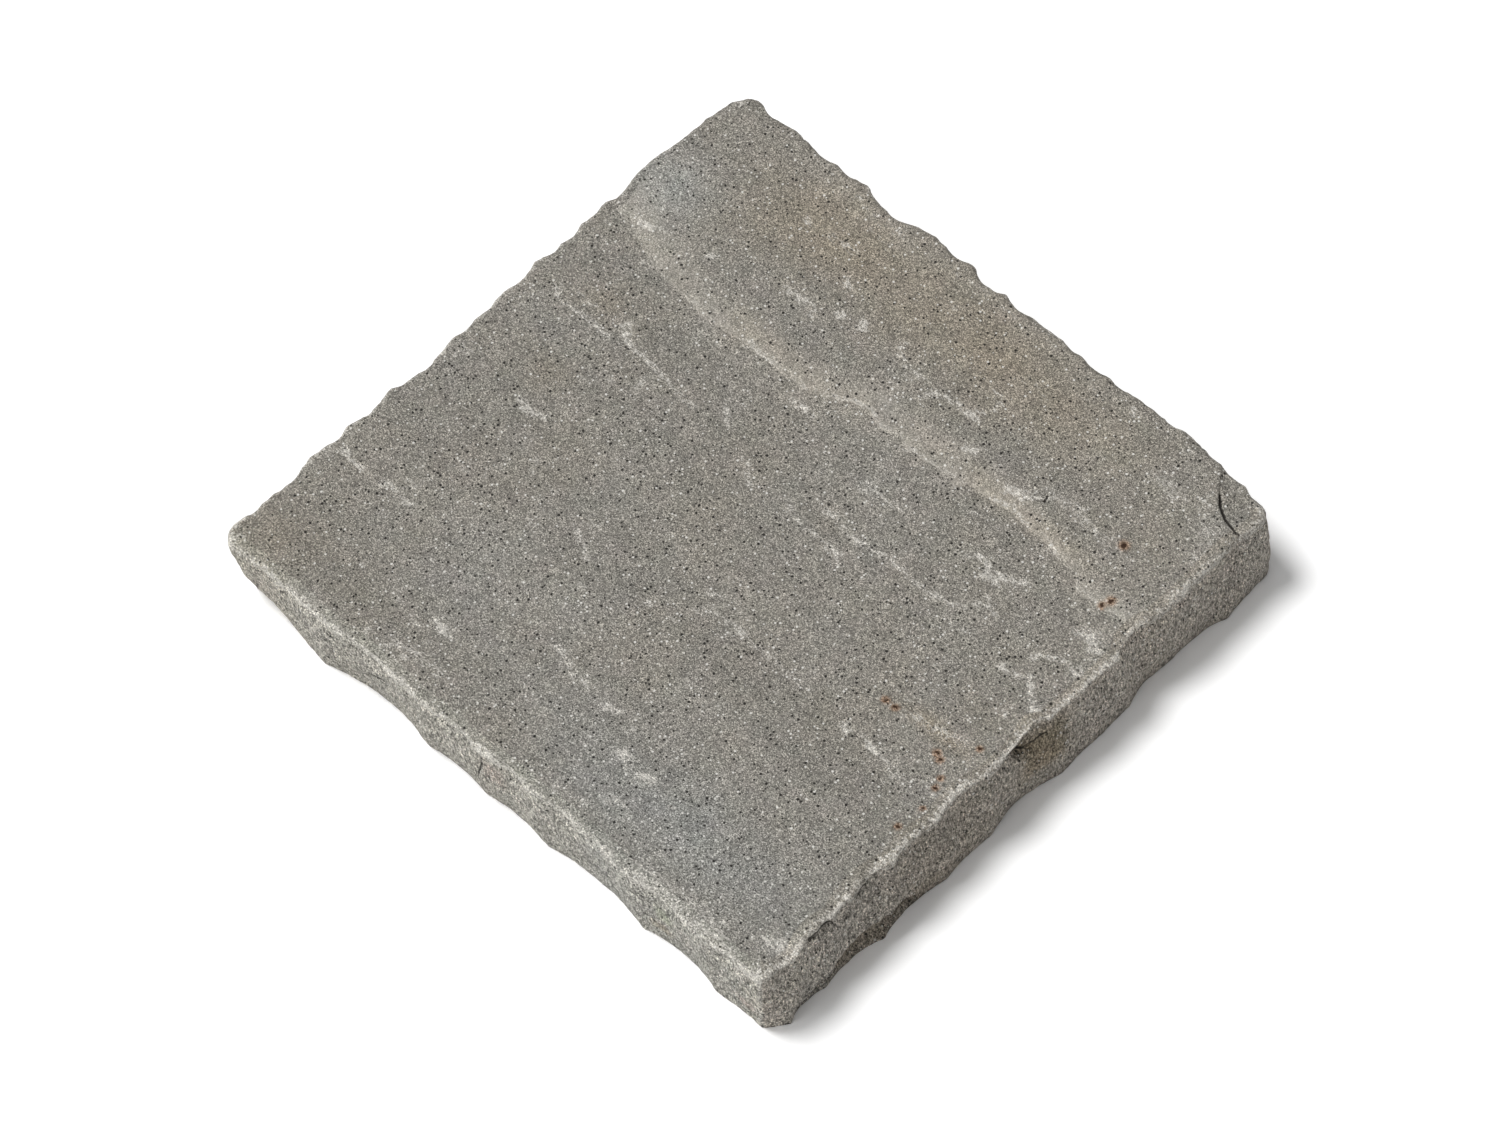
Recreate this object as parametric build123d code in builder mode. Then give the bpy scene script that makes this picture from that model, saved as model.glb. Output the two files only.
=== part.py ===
from build123d import *

import os

# Sandstone sett: one square block split from a bed of sandstone.
# The bed face lies on z = 0, the riven face looks up, and the part is in millimetres.

# Size of the block
SIDE = 200.0
THICK = 30.0
HALF = SIDE / 2

# Section of the dressed sides, from the foot up
BELLY_HEIGHT = 11.0
BELLY_FULLNESS = 1.0
EASE_DROP = 3.0
EASE_RUN = 2.4
ARRIS_HEIGHT = THICK - EASE_DROP
BELLY_SHARE = 1 - BELLY_HEIGHT / ARRIS_HEIGHT

# Riven step on the top face
STEP_DROP = 1.5
STEP_RISER = 0.5
STEP_BASE = THICK - STEP_DROP
RISER_TOP = STEP_BASE + STEP_RISER

# Loose flake at one corner of the top face
FLAKE_DROP = 0.6

# Scar where a chip has left the arris of the right side
SCAR_FLOOR = 13.0

# How far the cuts run past the block: upwards in millimetres, and out as a share of the half side
OVER = 2.0
PAST = 1.2

# Ribs between the chisel scallops. Each row holds, for the arris and then for the foot:
# place along the side as a share of the half side, millimetres outside the true square,
# and millimetres of hollow up to the next rib. A negative hollow rounds a corner.
# The last number is how far the belly swells out past a straight line from arris to foot.
FRONT = [
    (-0.975, 0.4, 0.3, -0.930, -6.4, 0.1, 1.8),
    (-0.800, 0.1, 0.3, -0.790, -3.7, -0.1, 1.0),
    (-0.620, 0.4, 0.8, -0.650, -1.6, 2.9, 0.6),
    (-0.240, 0.2, 0.5, -0.260, -2.5, 1.0, 0.9),
    (-0.040, 0.2, 0.7, -0.050, -2.6, 1.0, 1.0),
    (0.160, -0.2, 1.1, 0.190, -2.5, 2.0, 0.8),
    (0.500, 0.3, 0.7, 0.550, -1.9, 1.9, 0.7),
    (0.800, 0.5, 0.3, 0.820, -1.6, -0.2, 0.5),
    (0.960, 0.3, -0.8, 0.970, -2.6, -0.9, 1.2),
]
RIGHT = [
    (-0.965, 0.5, -0.3, -0.945, 1.3, -0.1, 1.0),
    (-0.880, 2.0, 1.7, -0.920, 2.8, 1.3, 1.3),
    (-0.720, 0.3, 2.0, -0.780, 2.4, 1.5, 1.8),
    (-0.500, 0.3, 1.0, -0.570, 2.9, 1.2, 1.9),
    (-0.330, 0.5, 1.8, -0.320, 2.9, 0.7, 1.6),
    (-0.140, 0.9, 0.1, -0.150, 2.5, 2.4, 1.1),
    (0.130, 1.1, -0.1, 0.130, 3.1, 0.3, 0.9),
    (0.370, 1.5, 2.3, 0.400, 2.2, 0.2, 0.8),
    (0.510, 0.7, -0.1, 0.480, 0.1, -0.1, 1.2),
    (0.700, 0.5, 0.1, 0.700, 0.5, 0.2, 0.9),
    (0.800, 0.1, 0.2, 0.790, 2.6, -0.2, 0.6),
    (0.950, 1.2, -1.3, 0.930, 1.2, -2.2, 1.2),
]
BACK = [
    (0.935, -0.7, -0.1, 0.950, 0.2, 0.3, 1.0),
    (0.850, 0.6, 0.3, 0.820, 1.0, 0.4, 0.9),
    (0.670, 2.0, 0.3, 0.660, 1.6, 0.6, 0.7),
    (0.570, 1.8, 0.8, 0.520, 1.2, 0.9, 1.1),
    (0.240, 1.3, 0.5, 0.260, 1.5, 1.1, 1.4),
    (0.000, 1.6, 1.2, -0.020, 2.0, 0.7, 1.0),
    (-0.130, 2.6, 0.4, -0.160, 1.4, 0.5, 0.6),
    (-0.265, 2.9, 0.3, -0.280, 1.8, 0.3, 0.5),
    (-0.350, 1.6, 2.3, -0.370, 1.0, 1.6, 0.6),
    (-0.530, 2.4, 0.8, -0.540, 1.2, 1.0, 1.0),
    (-0.810, 2.3, 1.3, -0.780, 1.6, 0.7, 0.8),
    (-0.930, 3.2, -2.1, -0.930, 0.8, -1.8, 0.6),
]
LEFT = [
    (0.970, 0.6, 0.4, 0.950, -0.6, 0.2, 0.9),
    (0.890, 2.0, 0.7, 0.860, 0.2, 0.5, 0.7),
    (0.700, 2.8, -0.2, 0.710, 0.6, 0.3, 0.5),
    (0.600, 2.6, 0.4, 0.580, 0.2, 0.2, 0.8),
    (0.510, 1.0, 0.0, 0.510, -0.6, 0.0, 1.0),
    (0.475, 2.9, 0.2, 0.450, 0.6, 0.2, 0.6),
    (0.390, 2.6, 0.9, 0.370, 0.3, 0.8, 0.5),
    (0.210, 2.7, 1.4, 0.190, 0.2, 1.0, 0.9),
    (0.080, 2.3, 1.0, 0.060, 0.5, 0.9, 0.7),
    (-0.110, 1.9, 2.2, -0.130, -0.2, 1.5, 1.3),
    (-0.360, 1.9, 1.3, -0.350, 0.3, 1.0, 1.0),
    (-0.520, 1.7, 0.5, -0.540, -0.6, 0.8, 0.8),
    (-0.670, 1.9, 1.1, -0.700, -0.4, 0.9, 1.1),
    (-0.945, 1.3, -1.2, -0.925, -2.6, -1.2, 3.0),
]

# Riven step: place along the face and toe of the step as shares of the half side,
# then the run of the slope behind it in millimetres.
TOE = [
    (-1.100, 0.500, 3.0),
    (-0.990, 0.495, 3.0),
    (-0.860, 0.455, 4.0),
    (-0.770, 0.420, 5.5),
    (-0.600, 0.402, 6.0),
    (-0.550, 0.387, 7.0),
    (-0.440, 0.405, 7.0),
    (-0.190, 0.408, 7.5),
    (-0.150, 0.425, 7.0),
    (-0.090, 0.448, 7.0),
    (-0.070, 0.466, 6.0),
    (0.000, 0.480, 6.5),
    (0.045, 0.455, 8.0),
    (0.100, 0.475, 7.0),
    (0.155, 0.460, 8.0),
    (0.290, 0.472, 8.0),
    (0.330, 0.452, 9.0),
    (0.350, 0.492, 6.0),
    (0.500, 0.502, 6.0),
    (0.600, 0.500, 5.5),
    (0.750, 0.476, 7.0),
    (0.785, 0.440, 8.0),
    (0.950, 0.452, 6.0),
    (1.100, 0.455, 5.0),
]

# Crack that bounds the loose flake, then points clear of the corner, as shares of the half side
CRACK = [
    (0.827, 0.968),
    (0.857, 0.933),
    (0.892, 0.896),
    (0.932, 0.873),
    (0.987, 0.859),
    (0.999, 0.838),
]
CLEAR_OF_CORNER = [(1.10, 0.80), (1.10, 1.10), (0.83, 1.10)]

# Mouth and floor of the scar: millimetres outside the true square and place along the side
SCAR_MOUTH = [(3.5, -0.050), (-0.2, -0.030), (-1.8, 0.035), (-2.6, 0.065), (-0.4, 0.100), (3.5, 0.120)]
SCAR_BASE = [(6.0, -0.060), (2.6, -0.040), (2.4, 0.020), (2.8, 0.060), (4.0, 0.085), (6.0, 0.100)]


def along_front(at, out):
    return (at * HALF, -HALF - out)


def along_right(at, out):
    return (HALF + out, at * HALF)


def along_back(at, out):
    return (at * HALF, HALF + out)


def along_left(at, out):
    return (-HALF - out, at * HALF)


RIBS = [(along_front, row) for row in FRONT]
RIBS += [(along_right, row) for row in RIGHT]
RIBS += [(along_back, row) for row in BACK]
RIBS += [(along_left, row) for row in LEFT]


def ring(share, fullness, inset):
    """Rib points and hollows at a level; share runs from 0 at the arris to 1 at the foot."""
    points = []
    for place, (top_at, top_out, top_hollow, foot_at, foot_out, foot_hollow, swell) in RIBS:
        at = top_at + (foot_at - top_at) * share
        out = top_out + (foot_out - top_out) * share + swell * fullness - inset
        hollow = top_hollow + (foot_hollow - top_hollow) * share
        x, y = place(at * (1 - inset / HALF), out)
        points.append((x, y, hollow))
    return points


def scallops(points):
    """Arcs through the rib points, each bowed inwards by its hollow."""
    for i, (x1, y1, hollow) in enumerate(points):
        x2, y2, _ = points[(i + 1) % len(points)]
        chord = ((x2 - x1) ** 2 + (y2 - y1) ** 2) ** 0.5
        mx = (x1 + x2) / 2 - (y2 - y1) / chord * hollow
        my = (y1 + y2) / 2 + (x2 - x1) / chord * hollow
        if hollow == 0:
            Line((x1, y1), (x2, y2))
        else:
            ThreePointArc((x1, y1), (mx, my), (x2, y2))


with BuildPart() as sett:
    # Block with dressed sides: foot, belly, arris and the eased crown
    for height, share, fullness, inset in [
        (0, 1.0, 0, 0),
        (BELLY_HEIGHT, BELLY_SHARE, BELLY_FULLNESS, 0),
        (ARRIS_HEIGHT, 0.0, 0, 0),
        (THICK, 0.0, 0, EASE_RUN),
    ]:
        with BuildSketch(Plane.XY.offset(height)):
            with BuildLine():
                scallops(ring(share, fullness, inset))
            make_face()
    loft(ruled=True)

    # Lower plateau in front of the step, up to the top of the riser
    far = -PAST * HALF
    toe = [(x * HALF, y * HALF) for x, y, run in TOE]
    with BuildSketch(Plane.XY.offset(STEP_BASE)):
        with BuildLine():
            Polyline(*toe, (toe[-1][0], far), (toe[0][0], far), close=True)
        make_face()
    extrude(amount=STEP_RISER, mode=Mode.SUBTRACT)

    # Gentle slope from the riser to the upper layer
    rise = (THICK + OVER - RISER_TOP) / (THICK - RISER_TOP)
    crest = [(x * HALF, y * HALF + run * rise) for x, y, run in TOE]
    for height, edge in [(RISER_TOP, toe), (THICK + OVER, crest)]:
        with BuildSketch(Plane.XY.offset(height)):
            with BuildLine():
                Polyline(*edge, (edge[-1][0], far), (edge[0][0], far), close=True)
            make_face()
    loft(ruled=True, mode=Mode.SUBTRACT)

    # Flake beyond the crack lies a little lower
    flake = [(x * HALF, y * HALF) for x, y in CRACK + CLEAR_OF_CORNER]
    with BuildSketch(Plane.XY.offset(THICK - FLAKE_DROP)):
        with BuildLine():
            Polyline(*flake, close=True)
        make_face()
    extrude(amount=OVER, mode=Mode.SUBTRACT)

    # Scar of the chip on the right side
    for height, edge in [(SCAR_FLOOR, SCAR_BASE), (THICK + OVER, SCAR_MOUTH)]:
        with BuildSketch(Plane.XY.offset(height)):
            with BuildLine():
                Polyline(*[along_right(at, out) for out, at in edge], close=True)
            make_face()
    loft(ruled=True, mode=Mode.SUBTRACT)

os.makedirs("parts", exist_ok=True)
sett.part.label = "sandstone_sett"
export_step(sett.part, "parts/sandstone_sett.step")
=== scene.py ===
from math import cos, pi, radians, sin

import bmesh
import bpy
import numpy as np
from mathutils import Matrix, Vector, geometry, noise
from mathutils.bvhtree import BVHTree


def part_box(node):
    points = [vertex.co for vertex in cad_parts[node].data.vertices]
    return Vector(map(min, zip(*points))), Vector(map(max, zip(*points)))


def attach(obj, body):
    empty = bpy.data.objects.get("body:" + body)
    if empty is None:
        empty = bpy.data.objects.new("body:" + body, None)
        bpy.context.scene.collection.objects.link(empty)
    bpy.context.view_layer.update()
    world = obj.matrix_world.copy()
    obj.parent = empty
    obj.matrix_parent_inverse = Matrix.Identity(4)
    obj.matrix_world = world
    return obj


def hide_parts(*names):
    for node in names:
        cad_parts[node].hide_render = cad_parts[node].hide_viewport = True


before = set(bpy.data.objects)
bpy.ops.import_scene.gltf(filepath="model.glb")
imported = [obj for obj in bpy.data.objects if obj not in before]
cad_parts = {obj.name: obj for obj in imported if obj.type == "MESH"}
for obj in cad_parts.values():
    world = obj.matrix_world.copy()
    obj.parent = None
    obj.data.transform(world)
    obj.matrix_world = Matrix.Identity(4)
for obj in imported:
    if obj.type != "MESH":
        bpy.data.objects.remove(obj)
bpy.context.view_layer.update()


def srgb(red, green, blue):
    """A colour as it is seen, from 0 to 255, in the linear form that a shader takes."""
    return tuple(((c / 255 + 0.055) / 1.055) ** 2.4 for c in (red, green, blue)) + (1.0,)


# The stone is worked out in millimetres and its mesh is made in metres.
MM = 0.001
NODE = "sandstone_sett"
HALF = 100.0
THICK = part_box(NODE)[1].z / MM

# Heights of the plateau in front of the step, the arris and the belly, and how high the step's riser is
PLATEAU, ARRIS, BELLY = 28.5, 27.0, 11.0
RISER = 0.5

# Directions, the height that rays are cast down from, and a distance too small to see
X, Y, DOWN = Vector((1, 0, 0)), Vector((0, 1, 0)), Vector((0, 0, -1))
ABOVE = 2 * THICK
HAIR = 0.02

# Grid of the stone's skin: its columns leave a square spine inside the block and fan out at the corners
SPINE_INSET = 12.0
FAN = 11.0
REACH = HALF - SPINE_INSET + FAN
FACE_COLUMNS = 218
SIDE_HEIGHTS = np.concatenate([np.linspace(0, BELLY, 17)[:-1], np.linspace(BELLY, ARRIS, 24)])
BEVEL_INSETS = (0.35, 0.7, 1.1, 1.5, 1.9, 2.4, 3.0, 3.6)

# Rows of the grid across the top face: they crowd towards the step and leave a narrow row for its riser
ROWS_BEFORE_STEP, CROWDING_BEFORE = 160, 1.15
ROWS_AFTER_STEP, CROWDING_AFTER = 60, 1.2
FACE_ROWS = ROWS_BEFORE_STEP + ROWS_AFTER_STEP + 1
RISER_WIDTH = 0.16

# Points inside the bed: their spacing, their jitter as a share of it, its seed, and how far out they go
BED_SPACING, BED_JITTER, BED_SEED, BED_REACH = 4.6, 0.4, 5, 89.0

# The riven step is looked for between these places, at half the height of its riser.
TOE_FROM, TOE_TO, TOE_STRIDE = 34.0, 57.0, 0.25
RISER_MIDDLE = PLATEAU + RISER / 2

# Crack behind the loose flake at one corner of the top face, in plan, then its depth and half width
FLAKE_CRACK = ((82.7, 96.8), (85.7, 93.3), (89.2, 89.6), (93.2, 87.3), (98.6, 86.0))
CRACK_DEPTH, CRACK_HALF_WIDTH = 0.8, 0.25

# Where along x that crack opens and where it gapes more, and what the two take off its edges
CRACK_OPENS, CRACK_GAPES = (84.5, 87.0), (86.0, 89.0)
CRACK_SHUT, CRACK_GAPE = 0.9, 0.2

# Band beside that crack where the grid is split, and the cuts across each of its cells
CRACK_BAND, CRACK_CUTS = 1.5, 3

# Dressed sides: relief as a share of the right side's, where it fades at the arris, where the right begins
CALM = 0.55
HEWN_FADE = (1.5, -2.0)
RIGHT_ZONE = (90, 98)

# Depth and size of the hammer's bowls, of the coarse, the fine and the layered break, and where the last is
BOWL_DEPTH, BOWL_SIZE, BOWL_LEVEL = 1.1, np.array((9.0, 9.0, 15.0)), 0.2
COARSE_BREAK, COARSE_SIZE = 0.45, 6.0
FINE_BREAK, FINE_SIZE = 0.12, 1.7
LAYERED_BREAK, LAYERED_SIZE, LAYERED_STRETCH = 0.45, 4.0, (1, 0.22, 1)
LAYERED_ZONE = (-40, -60)

# Ledge low on the right side: place along the side and height of its lip
LEDGE = (
    (-92, 0.5), (-80, 4.5), (-75, 7.5), (-65, 10.0), (-60, 11.0),
    (-56, 11.2), (-50, 10.0), (-45, 6.0), (-38, 0.5),
)
LEDGE_DEPTH = 2.6
LIP_RAGGED, LIP_SIZE, LIP_FALL = 0.8, 3.0, 0.9
BROW_OUT, BROW_RISE, BROW_WIDTH = 0.3, 0.9, 1.2

# Upright ridge at the near corner: how far it stands out, and its half width
RIDGE, RIDGE_WIDTH = 0.8, 2.2

# One stretch of the right arris that stands out: its place, half length, reach, and limits across the arris
SWELL_PLACE, SWELL_LENGTH, SWELL_OUT = -65.0, 8.0, 1.0
SWELL_SPAN = (-9, -1, 1.5, 4)

# Plan width of the eased crown in front of the step and behind it, and how full it is
LOW_CROWN, HIGH_CROWN = 1.2, 2.4
CROWN_WIDENS = (44, 50)
CROWN_FULLNESS, RIGHT_FULLNESS, NEAR_FULLNESS = 0.28, 0.5, 0.3

# Near end of the right side, where its arris is fuller and paler further down
NEAR_END = (-30, -40)

# Chips along the arris, drawn at random from one seed: reach, depth as a share of it, and shift up or down
CHIP_SEED, CHIP_COUNT = 11, 260
CHIP_REACH = (1.1, 5.4)
CHIP_SHARE = 0.22
CHIP_SHIFT = (-1.2, 1.5)

# Riven face: gentle swell and fine break, both in depth and size, and how the forms stretch along the bedding
FACE_SWELL, FACE_SWELL_SIZE = 0.14, 30.0
FACE_BREAK, FACE_BREAK_SIZE = 0.07, 3.2
ALONG_BEDDING = (0.4, 1.0, 1.0)
RIVEN_FADE = (2.0, 6.0)

# Laminae of the riven face: height between two, rise and size of the swell that cuts them, and their share
LAMINA = 0.25
LAMINA_RISE, LAMINA_SIZE, LAMINA_SHARE = 1.1, 22.0, 0.8

# Shallow scars where thin flakes have left the top face: centre, half length, half width, depth;
# then how soft their rims are, and how ragged
FLAKE_SCARS = (
    (-15.0, 35.5, 6.0, 2.4, 0.30),
    (-63.0, 19.5, 9.0, 1.6, 0.16),
    (32.0, 15.5, 24.0, 2.2, 0.14),
    (-4.0, 67.0, 7.0, 3.0, 0.16),
    (16.0, 63.5, 9.0, 2.0, 0.14),
    (81.0, -12.5, 12.0, 2.6, 0.18),
    (63.0, 34.0, 10.0, 3.0, 0.16),
)
SCAR_RIM = (1.05, 0.85)
SCAR_RAGGED, SCAR_RAGGED_SIZE = 0.3, 3.0

# Treads on the slope behind the step: their height, and the span behind the toe and in height that has them
SLOPE_TREAD = 0.32
TREAD_SPAN = (0.1, 0.4, 9, 12)
TREAD_HEIGHTS = (0.02, 0.12, 0.85, 1.0)

# Jags of the step's edge: how far from the toe they reach and the height that they start at,
# then depth, size and seed of the large and the small
JAG_REACH, JAGS_ABOVE = 3.0, 27.5
JAGS = ((0.7, 5.0, 10), (0.25, 1.9, 11))
JAG_STRETCH = (1, 0.15, 0)

# Pits in the bed: depth, size and seed of the large and the small
PITS = ((0.3, 14.0, 12), (0.1, 4.0, 13))

# Camera and light: places in metres, lens and sensor in millimetres, angles in degrees
SENSOR = 36.0
CAMERA_AZIMUTH, CAMERA_ELEVATION, CAMERA_ROLL = 46.0, 57.7, -2.4
CAMERA_DISTANCE = 2.0
CAMERA_TARGET = Vector((0.0029, -0.0032, 0.015))
CAMERA_LENS = 177.8
SKY_LEVEL = 0.28
KEY = {"towards": (-0.34, -0.23, 0.9), "level": 0.62, "angle": 20}
FILL = {"towards": (-0.16, -0.86, 0.38), "level": 0.105, "angle": 40}
FLOOR_REACH = 3.0
FLOOR = (0.9, 0.9, 0.9, 1)
FLOOR_SHOWN = (1.2, 1.2, 1.2, 1)

# The faces of the stone
FRONT, RIGHT, BACK, LEFT, TOP, BED = range(6)

# Pale flecks on the riven face: strength, half width, then x and y of each point of a fleck's line
FLECKS = (
    (0.8, 0.7, 7, 61, 8.5, 64, 15, 65, 23, 65.3),
    (0.5, 0.6, 20, 75, 24, 73, 24, 68.5, 21, 67.5),
    (0.3, 2.0, 52, 61, 57, 62, 62, 63, 68, 60.5, 78, 61),
    (0.45, 1.8, 45, 55, 49, 57, 52, 59),
    (1.0, 1.2, 27, 57, 29, 57.6),
    (0.9, 0.8, 52, 34, 56, 34, 58, 31, 62, 34, 68, 37),
    (0.8, 0.9, 57, 30, 61, 31),
    (0.6, 0.6, 62, 26.5, 69, 23),
    (0.5, 0.6, 62, 22.5, 66, 25),
    (0.6, 0.8, 12, 17, 16, 17.3, 20, 16, 25, 15.5, 30, 16.5, 34, 17, 40, 17.5),
    (0.5, 0.5, 41, 17, 43, 16, 50, 17, 57, 18, 61, 20),
    (0.4, 1.0, 14, 31, 20, 30.5, 27, 31),
    (0.8, 1.6, 88, 35, 92, 37, 94, 34),
    (0.6, 0.8, 88, 24, 92, 26, 98, 25),
    (0.8, 1.0, 84.5, 21, 85.5, 22),
    (0.6, 0.9, 80, 13, 86, 14),
    (0.8, 0.7, 88, 16, 92, 12, 95, 9, 98, 9),
    (0.5, 1.0, 88, 3, 91, 3),
    (0.45, 0.8, 3, 12, 6, 10, 12, 9.5, 20, 9, 25, 9.5),
    (0.6, 0.5, 50, 99, 52.5, 95.5),
    (0.4, 0.8, -82, 28, -81, 33),
    (0.5, 0.8, -86, 21.5, -79, 21.5),
    (0.8, 0.9, -69, 22, -67, 20.5, -63, 18.5, -58, 18.5),
    (0.5, 0.8, -58, 18.5, -52, 18, -43, 16.5, -36, 16),
    (0.45, 0.9, -92, 19, -88, 16, -84, 17, -76, 17, -70, 17),
    (0.5, 1.0, -30, 22, -26, 19),
    (0.5, 0.8, -53, 14, -52, 10),
    (0.5, 0.8, -16, 13, -13, 13),
    (0.6, 0.7, -12, 11, -7, 8),
    (0.6, 1.0, -19, 36, -15, 36.8, -11.5, 36.3),
    (0.6, 1.1, -44, 61, -39, 61, -35, 62, -34, 59.5),
    (0.9, 0.9, -28.5, 65, -27.5, 64.5),
    (0.9, 1.3, -21.5, 67, -20.5, 66),
    (0.7, 1.3, -34, 74, -32.5, 73),
    (0.5, 0.7, -9, 70, -7, 66, 0, 65, 5, 64.5),
    (0.8, 0.6, -68, 54, -66, 55.5),
    (0.8, 0.9, -90.5, 49.5, -86, 50.5),
    (0.5, 0.6, -84, 52, -81, 53),
    (0.5, 0.5, -62, 97, -61, 94),
    (0.5, 0.5, -52, 96, -51, 97),
    (0.6, 0.5, -9, 97.5, -7, 100),
    (0.35, 1.4, -48, 82, -40, 83),
    (0.4, 1.0, -57, 82, -54, 80),
    (0.35, 2.2, 72, -15, 76, -13.5, 82, -12.5, 89, -11.5),
    (0.95, 1.2, 62, -28.5, 64, -29.5),
    (0.45, 0.7, 68, -27.5, 75, -29, 87, -30),
    (0.5, 0.9, 7, -23.5, 11, -22.5),
    (0.3, 1.6, 10, -27, 25, -27, 48, -27),
    (0.9, 0.9, 12, -68, 14, -67, 16, -66),
    (0.5, 0.9, 2, -65, 5, -67),
    (0.7, 0.7, 21.5, -68, 22.5, -67.5),
    (1.0, 1.1, 25, -75, 28, -75),
    (0.7, 0.7, 29.5, -77.5, 30, -76.5),
    (1.0, 1.0, 34, -77, 37, -75.5),
    (0.5, 0.7, 46, -78.5, 47, -78),
    (0.5, 0.9, 33, -87, 37, -86),
    (0.7, 1.0, -73, -14, -70, -15, -68, -15.5, -64, -13.5),
    (0.9, 0.8, -98.5, -14.5, -97, -16),
    (0.5, 0.9, -56, -25, -53, -29),
    (0.5, 0.7, -45.5, -29, -44.5, -29.5),
    (0.65, 0.8, -32, -34, -28, -36, -24, -38),
    (0.6, 0.7, -44, -40, -41, -41),
    (0.8, 0.9, -81, -58.5, -78, -58),
    (0.5, 0.9, -74, -58, -71, -58.5),
    (0.8, 0.5, -97, -58, -92, -59.5, -88, -59.5),
    (0.7, 0.7, -54.5, -67, -53.5, -67),
    (0.6, 0.8, -10, -63, -4, -64.5, 0, -67),
    (0.9, 1.1, -39, -80, -33, -80.5),
    (0.8, 0.9, -45, -83, -42, -83.5),
    (0.5, 0.8, -52, -81.5, -50, -81.5),
    (0.4, 1.6, -43, -91, -35, -91, -27, -91.5),
    (0.8, 0.7, -2.5, -37, -1.5, -37),
    (0.6, 0.5, 20, -94, 23, -98, 26, -99),
    (0.5, 1.4, 52, -97, 60, -96, 66, -96, 78, -94.5, 84, -97),
    (0.6, 1.5, 92, -90, 98, -88),
    (0.3, 3.5, 85, 88, 90, 84, 94, 80),
    (0.3, 3.0, 70, 85, 80, 84),
)

# Broad stains in plan: centre, half length, half width, strength
BLUE_STAINS = (
    (-92, 66, 14, 14, 0.9), (55, -82, 45, 16, 1.0), (-40, -60, 30, 20, 0.25), (98, 92, 8, 8, 0.3),
)
BROWN_STAINS = (
    (5, 84, 55, 16, 0.9), (-55, 80, 25, 16, 0.55), (-90, -90, 12, 10, 0.5), (-78, 25, 8, 6, 0.4),
    (-75, -3, 8, 6, 0.4), (81, -13, 10, 2.6, 1.1), (55, 52, 30, 4, 0.4), (-30, 45, 25, 4, 0.3),
)

# Dark bands in plan, in the same form; a negative strength is a light one
DARK_BANDS = (
    (-30, 0, 45, 10, 0.4), (0, -35, 60, 14, 0.3), (60, 68, 30, 6, 0.3), (-92, 66, 14, 14, -1.2),
    (-50, 60, 30, 6, -0.3), (92, 80, 8, 8, -0.6), (94, 95, 6, 5, 1.9), (-35, 38, 50, 6, -0.3),
    (-78, -20, 20, 40, 0.35), (50, -82, 45, 16, -0.4), (-55, -8, 30, 6, -0.3), (60, 5, 30, 5, -0.25),
    (20, 68, 50, 4, 0.3),
)

# Stains on the sides, with painted shade in some rows: the dark hole under the scar's overhang, and the low
# tier under the ledge's lip. Face, place along it, height, half length, half height, and change of red, green
# and blue
SIDE_STAINS_AND_SHADE = (
    (RIGHT, 7, 18, 8.5, 9, -0.33, -0.38, -0.47),
    # Painted shade in the dark hole under the scar's overhang
    (RIGHT, -1.0, 25, 3.2, 2.4, -0.35, -0.35, -0.35),
    # Low tier under the ledge's lip, this row and the next: its own browner stone, and painted shade under
    # the lip
    (RIGHT, -63, 4, 11, 5.5, -0.04, -0.08, -0.13),
    (RIGHT, -40, 3, 14, 5, -0.12, -0.14, -0.16),
    (RIGHT, -32, 15, 24, 14, -0.09, -0.10, -0.11),
    (RIGHT, -84, 22, 9, 9, 0.14, 0.13, 0.11),
    (RIGHT, 50, 27, 42, 3, 0.14, 0.13, 0.12),
    (RIGHT, 28, 25, 1.2, 1.2, -0.4, -0.4, -0.4),
    (RIGHT, -87, 28, 3.5, 2.5, 0.3, 0.3, 0.3),
    (RIGHT, -47.5, 22, 2.2, 2.2, 0.35, 0.33, 0.3),
    (FRONT, 1.5, 19.5, 4, 5, 0.05, -0.03, -0.03),
    (FRONT, 64, 18, 3, 4, -0.06, -0.01, -0.12),
    (FRONT, 62, 9.5, 3.5, 2.5, -0.06, -0.12, -0.2),
    (FRONT, 94.5, 10, 2.5, 3, 0.06, -0.03, -0.03),
    (FRONT, 84.7, 25, 1.0, 1.0, -0.5, -0.5, -0.5),
    (FRONT, -72.5, 24.5, 2.0, 1.0, 0.3, 0.3, 0.3),
    (FRONT, 99, 14, 2.5, 2.5, 0.3, 0.3, 0.28),
)

# Fresh slope behind the step: places along the face and its width there, then how much lighter it is
# and how much fainter its grain
SLOPE_RUN = (
    (-100, 14), (-75, 13), (-60, 10), (-20, 9), (5, 10), (30, 10), (42, 8), (60, 4), (80, 5), (100, 6),
)
SLOPE_LEVEL = 0.27
SLOPE_GRAIN = 0.25

# Pale band along the arris: where its middle is, its width, where it starts and is full, and its strength.
# The rows below the first are added on the right side, on the front, and at the right side's near end.
ARRIS_BAND = (
    (0.5, 1.0, -1.0, 0.2, 0.45),
    (0.5, 0.1, 0.0, 0.0, 0.0),
    (-0.5, 0.4, -2.0, -0.8, 0.06),
    (-0.4, 0.4, -1.0, -0.7, 0.0),
)
ARRIS_PATCHY = 0.2

# Middle, width and strength of the fainter band inside it, and of a broad one along part of the front
INNER_BAND = (3.5, 3.0, 0.22)
BROAD_BAND = (2.4, 1.6, 0.5)
BROAD_RUN = (45, 55, 88, 92)
UPRIGHT_BAND, UPRIGHT_LEVEL = 1.0, 0.5

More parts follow.
